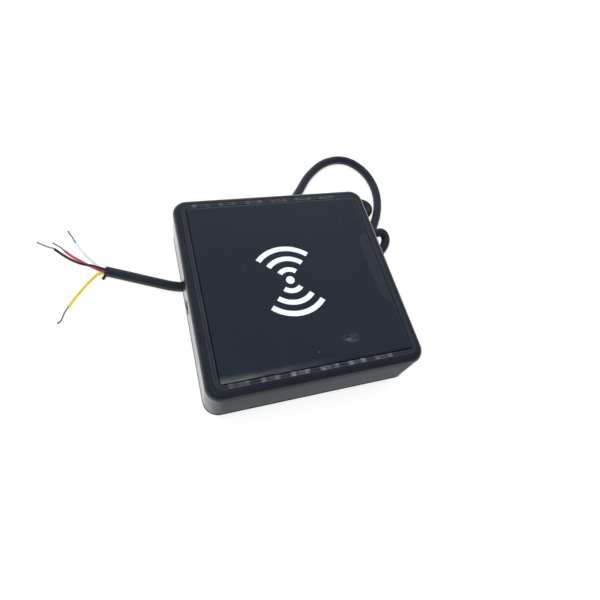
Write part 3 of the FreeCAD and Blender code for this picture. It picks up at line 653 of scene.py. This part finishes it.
def mesh_piece(name, build, material):
    bm = bmesh.new()
    build(bm)
    bmesh.ops.recalc_face_normals(bm, faces=bm.faces)
    mesh = bpy.data.meshes.new(name)
    bm.to_mesh(mesh)
    bm.free()
    smooth_mesh(mesh)
    mesh.materials.append(material)
    piece = bpy.data.objects.new(name, mesh)
    scene.collection.objects.link(piece)
    return piece


def frames_along(line):
    """Each point of a line with two directions across it, which turn as little as they can."""
    side = None
    last = len(line) - 1
    for i, point in enumerate(line):
        ahead = (line[min(i + 1, last)] - line[max(i - 1, 0)]).normalized()
        if side is None:
            side = ahead.orthogonal().normalized()
        side = (side - ahead * side.dot(ahead)).normalized()
        yield point, side, ahead.cross(side)


def spoke(side, across, angle):
    return side * math.cos(angle) + across * math.sin(angle)


def close_tube(bm, rings):
    """Faces between rings of vertices, and across both ends."""
    for a, b in zip(rings, rings[1:]):
        for k in range(len(a)):
            n = (k + 1) % len(a)
            bm.faces.new((a[k], a[n], b[n], b[k]))
    bm.faces.new(rings[0][::-1])
    bm.faces.new(rings[-1])


def sweep(bm, line, radii, sides=8):
    """A closed tube along a line, one radius per point."""
    turns = [2 * math.pi * k / sides for k in range(sides)]
    rings = []
    for (point, side, across), radius in zip(frames_along(line), radii):
        rings.append([bm.verts.new(point + spoke(side, across, a) * radius) for a in turns])
    close_tube(bm, rings)


def strand_lines(line):
    """Twisted strands round a line, opening out a little at the far end."""
    lengths = [0.0]
    for a, b in zip(line, line[1:]):
        lengths.append(lengths[-1] + (b - a).length)
    total = lengths[-1]
    count = len(STRAND_SPREAD)
    strands = []
    for s, spread in enumerate(STRAND_SPREAD):
        strand = []
        for (point, side, across), length in zip(frames_along(line), lengths):
            angle = 2 * math.pi * (s / count + length / (STRAND_TURN * MM))
            reach = STRAND_OFFSET * MM * (1.0 + spread * (length / total) ** 6)
            strand.append(point + spoke(side, across, angle) * reach)
        strands.append(strand)
    return strands


def make_tip(colour, points, material):
    line = line_of(points)

    def build(bm):
        sweep(bm, line, [CORE_R * MM] * len(line))
        for strand in strand_lines(line):
            radii = [STRAND_R * MM] * len(strand)
            radii[-2:] = [STRAND_R * MM * 0.75] * 2
            sweep(bm, strand, radii)

    return mesh_piece("bare_strands_" + colour, build, material)


def make_jacket_end(material):
    """The cut end of the jacket: a rolled rim with a shallow hollow the leads come out of."""
    centre = Vector(CABLE_ROUTE[-1]) * MM
    out = Vector(CABLE_OUT).normalized()
    side = out.orthogonal().normalized()
    across = out.cross(side)
    # along the cable and out from its centre line, mm
    profile = ((-1.1, CABLE_R + 0.02), (-0.2, CABLE_R + 0.05), (0.12, CABLE_R - 0.05),
               (0.18, CABLE_R - 0.22), (0.1, CABLE_R - 0.42), (-0.02, CABLE_R - 0.5))
    sides = 48

    def build(bm):
        rings = []
        for along, radius in profile:
            ring = []
            for k in range(sides):
                a = 2 * math.pi * k / sides
                wobble = 1.0 + 0.006 * math.sin(3 * a + 0.7) + 0.004 * math.sin(7 * a)
                spot = centre + out * along * MM
                ring.append(bm.verts.new(spot + spoke(side, across, a) * radius * wobble * MM))
            rings.append(ring)
        close_tube(bm, rings)

    return mesh_piece("jacket_cut_end", build, material)


def make_cable(looks):
    cable = nurbs_curve("cable", CABLE_ROUTE, CABLE_R, looks["jacket"])
    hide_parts("cable_jacket")
    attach(cable, ROOT)
    on_cable = []
    for colour, insulated, bare in LEADS:
        lead = nurbs_curve("insulated_" + colour, insulated, WIRE_R, looks["wire_" + colour])
        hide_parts("lead_" + colour)
        tip = make_tip(colour, bare, looks["tinned"])
        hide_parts("tip_" + colour)
        on_cable += [lead, tip]
    end = make_jacket_end(looks["jacket"])
    on_cable.append(end)
    for piece in on_cable:
        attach(piece, ROOT)


# ---------------------------------------------------------------- film patch edge
def make_film_edge(looks):
    _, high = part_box("film_tab")
    x, z = high.x / MM, high.z / MM - FILM_EDGE_SINK
    route = [(x - inset, y, z) for inset, y in FILM_EDGE]
    edge = nurbs_curve("film_edge", route, FILM_EDGE_R, looks["film_edge"])
    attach(edge, ROOT)


make_camera()
make_floor()
make_world()
make_lights()
make_flag()
looks = make_materials()
dress_nodes(looks)
make_cable(looks)
make_film_edge(looks)

scene.view_settings.view_transform = "Standard"
scene.view_settings.look = "None"
